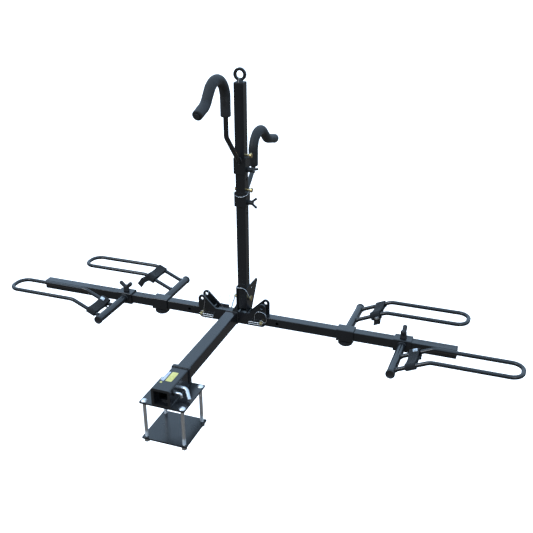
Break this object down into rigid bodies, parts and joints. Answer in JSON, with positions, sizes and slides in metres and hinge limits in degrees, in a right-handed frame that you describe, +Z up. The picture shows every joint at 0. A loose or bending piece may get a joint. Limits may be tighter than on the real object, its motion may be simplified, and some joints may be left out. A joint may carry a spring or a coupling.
{
  "type": "hitch mounted bike rack",
  "caption": "Hitch rack with folding side arms, sliding wheel trays, and a tilting mast with foam-covered frame hooks, on a clamp for a square bumper.",
  "frame": {"origin": "centre of the underside of the top clamp plate, where it rests on the bumper", "axes": "+Z up, +Y away from the vehicle along the stinger, +X to the right along the arms"},
  "size_m": [2.108, 1.0278, 1.216],
  "materials": {
    "black_coat": "semi-gloss powder coat",
    "zinc": "bright zinc plate",
    "yellow_zinc": "yellow zinc plate",
    "black_plastic": "moulded, fine grain",
    "foam": "closed-cell foam, matte",
    "webbing": "woven nylon"
  },
  "bodies": {
    "base": {"clamp_top_plate": "black_coat", "clamp_bolts": "zinc", "receiver_tube": "black_coat", "receiver_collar": "black_coat", "hitch_pin": "zinc", "stinger": "black_coat", "hub_front_plate": "black_coat", "hub_rear_plate": "black_coat", "hub_core": "black_coat", "mast_bracket": "black_coat", "pivot_pins": "yellow_zinc", "pin_lanyards": "zinc"},
    "lower_clamp": {"clamp_bottom_plate": "black_coat", "clamp_nuts": "zinc"},
    "anti_rattle": {"anti_rattle_bolt": "zinc"},
    "hitch_clip": {"hitch_pin_clip": "zinc"},
    "left_clip": {"left_hairpin": "zinc"},
    "right_clip": {"right_hairpin": "zinc"},
    "mast_clip": {"mast_hairpin": "zinc"},
    "left_arm": {"left_arm": "black_coat", "left_arm_cap": "black_plastic"},
    "right_arm": {"right_arm": "black_coat", "right_arm_cap": "black_plastic"},
    "mast": {"mast": "black_coat", "mast_cap": "black_plastic", "eye_bolt": "black_coat", "mast_lanyards": "zinc"},
    "upper_hook": {"upper_carriage": "black_coat", "upper_hook_rod": "black_coat", "upper_foam": "foam", "upper_rod_cap": "black_plastic"},
    "upper_pin": {"upper_pin": "yellow_zinc"},
    "upper_knob": {"upper_knob": "black_plastic"},
    "lower_hook": {"lower_carriage": "black_coat", "lower_hook_rod": "black_coat", "lower_foam": "foam", "lower_rod_cap": "black_plastic"},
    "lower_pin": {"lower_pin": "yellow_zinc"},
    "lower_knob": {"lower_knob": "black_plastic"},
    "right_front_tray": {"right_front_collar": "black_coat", "right_front_cross_tube": "black_coat", "right_front_wheel_loop": "black_coat", "right_front_strap": "webbing"},
    "right_front_knob": {"right_front_knob": "black_plastic"},
    "right_rear_tray": {"right_rear_collar": "black_coat", "right_rear_cross_tube": "black_coat", "right_rear_wheel_loop": "black_coat", "right_rear_strap": "webbing"},
    "right_rear_knob": {"right_rear_knob": "black_plastic"},
    "left_front_tray": {"left_front_collar": "black_coat", "left_front_cross_tube": "black_coat", "left_front_wheel_loop": "black_coat", "left_front_strap": "webbing"},
    "left_front_knob": {"left_front_knob": "black_plastic"},
    "left_rear_tray": {"left_rear_collar": "black_coat", "left_rear_cross_tube": "black_coat", "left_rear_wheel_loop": "black_coat", "left_rear_strap": "webbing"},
    "left_rear_knob": {"left_rear_knob": "black_plastic"}
  },
  "joints": [
    {"name": "lower_clamp_slide", "type": "slide", "parent": "base", "child": "lower_clamp", "axis": [0, 0, 1], "range_m": [0, 0.04]},
    {"name": "anti_rattle_turn", "type": "hinge", "parent": "base", "child": "anti_rattle", "pos_m": [0, -0.052, 0.0491], "axis": [1, 0, 0], "continuous": true},
    {"name": "hitch_clip_pull", "type": "slide", "parent": "base", "child": "hitch_clip", "axis": [0, -1, 0], "range_m": [0, 0.045]},
    {"name": "left_clip_pull", "type": "slide", "parent": "base", "child": "left_clip", "axis": [1, 0, 0], "range_m": [0, 0.045]},
    {"name": "right_clip_pull", "type": "slide", "parent": "base", "child": "right_clip", "axis": [-1, 0, 0], "range_m": [0, 0.045]},
    {"name": "mast_clip_pull", "type": "slide", "parent": "base", "child": "mast_clip", "axis": [0, -0.766, -0.6428], "range_m": [0, 0.035]},
    {"name": "right_arm_fold", "type": "hinge", "parent": "base", "child": "right_arm", "pos_m": [0.131, 0.565, 0.0391], "axis": [0, -1, 0], "range_deg": [0, 89]},
    {"name": "left_arm_fold", "type": "hinge", "parent": "base", "child": "left_arm", "pos_m": [-0.131, 0.565, 0.0391], "axis": [0, 1, 0], "range_deg": [0, 90]},
    {"name": "mast_fold", "type": "hinge", "parent": "base", "child": "mast", "pos_m": [0.0455, 0.565, 0.1261], "axis": [-1, 0, 0], "range_deg": [0, 90]},
    {"name": "upper_hook_slide", "type": "slide", "parent": "mast", "child": "upper_hook", "axis": [0, 0, -1], "range_m": [0, 0.05]},
    {"name": "upper_pin_pull", "type": "slide", "parent": "mast", "child": "upper_pin", "axis": [1, 0, 0], "range_m": [0, 0.06]},
    {"name": "upper_knob_turn", "type": "hinge", "parent": "upper_hook", "child": "upper_knob", "pos_m": [0.071, 0.565, 0.6651], "axis": [1, 0, 0], "continuous": true},
    {"name": "lower_hook_slide", "type": "slide", "parent": "mast", "child": "lower_hook", "axis": [0, 0, -1], "range_m": [0, 0.25]},
    {"name": "lower_pin_pull", "type": "slide", "parent": "mast", "child": "lower_pin", "axis": [1, 0, 0], "range_m": [0, 0.06]},
    {"name": "lower_knob_turn", "type": "hinge", "parent": "lower_hook", "child": "lower_knob", "pos_m": [0.071, 0.565, 0.5351], "axis": [1, 0, 0], "continuous": true},
    {"name": "right_front_tray_slide", "type": "slide", "parent": "right_arm", "child": "right_front_tray", "axis": [1, 0, 0], "range_m": [-0.07, 0.16]},
    {"name": "right_front_knob_turn", "type": "hinge", "parent": "right_front_tray", "child": "right_front_knob", "pos_m": [0.7, 0.565, 0.0641], "axis": [0, 0, 1], "continuous": true},
    {"name": "right_rear_tray_slide", "type": "slide", "parent": "right_arm", "child": "right_rear_tray", "axis": [1, 0, 0], "range_m": [-0.28, 0.08]},
    {"name": "right_rear_knob_turn", "type": "hinge", "parent": "right_rear_tray", "child": "right_rear_knob", "pos_m": [0.475, 0.565, 0.0141], "axis": [0, 0, 1], "continuous": true},
    {"name": "left_front_tray_slide", "type": "slide", "parent": "left_arm", "child": "left_front_tray", "axis": [-1, 0, 0], "range_m": [-0.04, 0.36]},
    {"name": "left_front_knob_turn", "type": "hinge", "parent": "left_front_tray", "child": "left_front_knob", "pos_m": [-0.502, 0.565, 0.0641], "axis": [0, 0, 1], "continuous": true},
    {"name": "left_rear_tray_slide", "type": "slide", "parent": "left_arm", "child": "left_rear_tray", "axis": [-1, 0, 0], "range_m": [-0.145, 0.05]},
    {"name": "left_rear_knob_turn", "type": "hinge", "parent": "left_rear_tray", "child": "left_rear_knob", "pos_m": [-0.332, 0.565, 0.0141], "axis": [0, 0, 1], "continuous": true}
  ]
}
